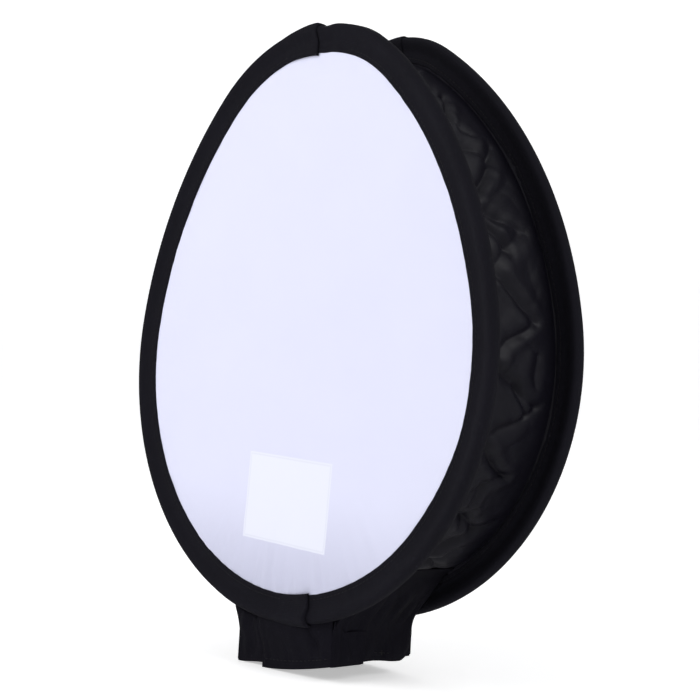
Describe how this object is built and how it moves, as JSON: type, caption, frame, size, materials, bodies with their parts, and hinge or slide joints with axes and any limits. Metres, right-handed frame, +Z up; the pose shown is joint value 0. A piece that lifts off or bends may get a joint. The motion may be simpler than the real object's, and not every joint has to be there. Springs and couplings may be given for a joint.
{
  "type": "collapsible flash softbox",
  "caption": "Collapsible egg-shaped fabric softbox on two steel hoops, with a white diffuser, a silver lining and an elastic neck that slips over a flash head.",
  "frame": {"origin": "centre of the bounding box's bottom, in the plane of the neck's hem on which the object stands", "axes": "+Z up, from the neck to the narrow end; -Y the way the diffuser faces; +X to the right seen from in front"},
  "size_m": [0.3, 0.0782, 0.3807],
  "materials": {
    "hoop_steel": "cold-rolled spring steel band, blued grey, fine lengthwise lines",
    "sleeve_steel": "crimped zinc-plated steel sleeve, satin",
    "binding_tape": "black woven polyester grosgrain tape, matte",
    "diffuser_cloth": "white translucent ripstop-free nylon, smooth, faint sheen",
    "patch_cloth": "second layer of the same white nylon",
    "shell_nylon": "black coated nylon taffeta, satin, creased",
    "silver_lining": "silver-coated nylon, dull metallic, finely crinkled",
    "neck_cloth": "black polyester cloth, matte, gathered",
    "elastic_webbing": "black ribbed elastic webbing",
    "grip_tape": "black nylon hook-and-loop tape"
  },
  "bodies": {
    "rear_frame": {"rear_hoop": "hoop_steel", "rear_hoop_ferrule": "sleeve_steel", "rear_binding": "binding_tape", "rear_binding_crown_join": "binding_tape", "rear_panel": "shell_nylon", "rear_lining": "silver_lining", "side_wall": "shell_nylon", "side_lining": "silver_lining", "neck_rear_panel": "neck_cloth", "neck_left_gusset": "neck_cloth", "neck_right_gusset": "neck_cloth", "neck_left_elastic": "elastic_webbing", "neck_right_elastic": "elastic_webbing", "neck_flap_root": "neck_cloth"},
    "front_frame": {"front_hoop": "hoop_steel", "front_hoop_ferrule": "sleeve_steel", "front_binding": "binding_tape", "front_binding_crown_join": "binding_tape", "front_binding_foot_join": "binding_tape", "diffuser": "diffuser_cloth", "hot_spot_patch": "patch_cloth", "neck_front_panel": "neck_cloth", "neck_loop_tape": "grip_tape"},
    "flap": {"neck_flap": "neck_cloth", "flap_hook_tape": "grip_tape"}
  },
  "joints": [
    {"name": "collapse", "type": "slide", "parent": "rear_frame", "child": "front_frame", "axis": [0, 1, 0], "range_m": [0, 0.056], "deforming": ["side_wall", "side_lining", "neck_left_gusset", "neck_right_gusset", "neck_left_elastic", "neck_right_elastic", "neck_flap_root"]},
    {"name": "flap_fold", "type": "hinge", "parent": "front_frame", "child": "flap", "pos_m": [0.0409, -0.0311, 0], "axis": [0, 0, 1], "range_deg": [0, 160]}
  ]
}
